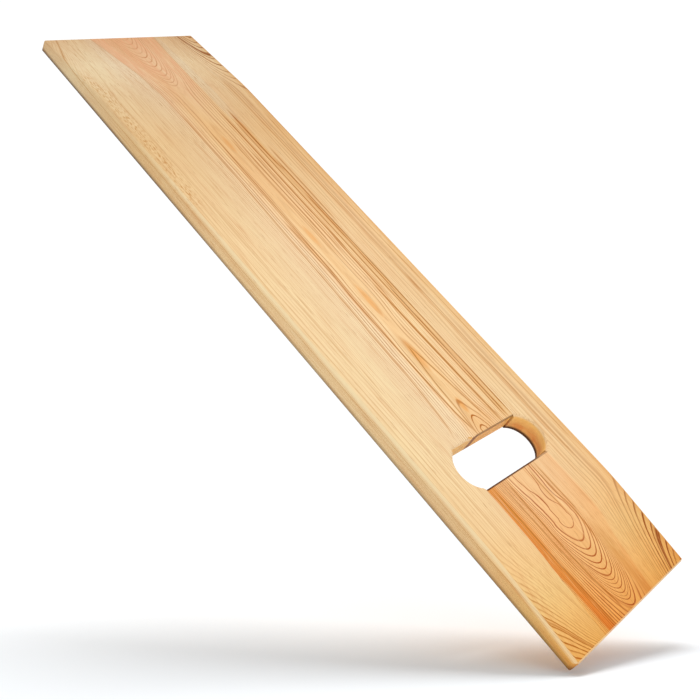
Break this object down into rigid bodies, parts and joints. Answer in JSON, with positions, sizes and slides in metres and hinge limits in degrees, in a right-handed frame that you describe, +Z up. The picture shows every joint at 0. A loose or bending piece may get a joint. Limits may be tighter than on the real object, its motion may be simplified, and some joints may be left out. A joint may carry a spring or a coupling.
{
  "type": "transfer board",
  "caption": "Flat wooden transfer board, edge-glued from staves, with a flat underside, both ends thinned and a hand hole across one end.",
  "frame": {"origin": "centre of the flat underside, at the bottom centre of the bounding box", "axes": "+X along the length towards the hand hole end, +Y across the width towards the back stave, +Z up through the thickness from the flat underside to the tapered face"},
  "size_m": [0.762, 0.193, 0.019],
  "materials": {
    "front_wood": "clear satin varnish on pale sapwood pine",
    "back_wood": "clear satin varnish on pale sapwood pine",
    "centre_long_wood": "clear satin varnish on flat-sawn pine with a pinkish heart",
    "centre_short_wood": "clear satin varnish on flat-sawn pine with an orange heart"
  },
  "bodies": {
    "root": {"front_stave": "front_wood", "back_stave": "back_wood", "centre_stave_long": "centre_long_wood", "centre_stave_short": "centre_short_wood"}
  },
  "joints": []
}
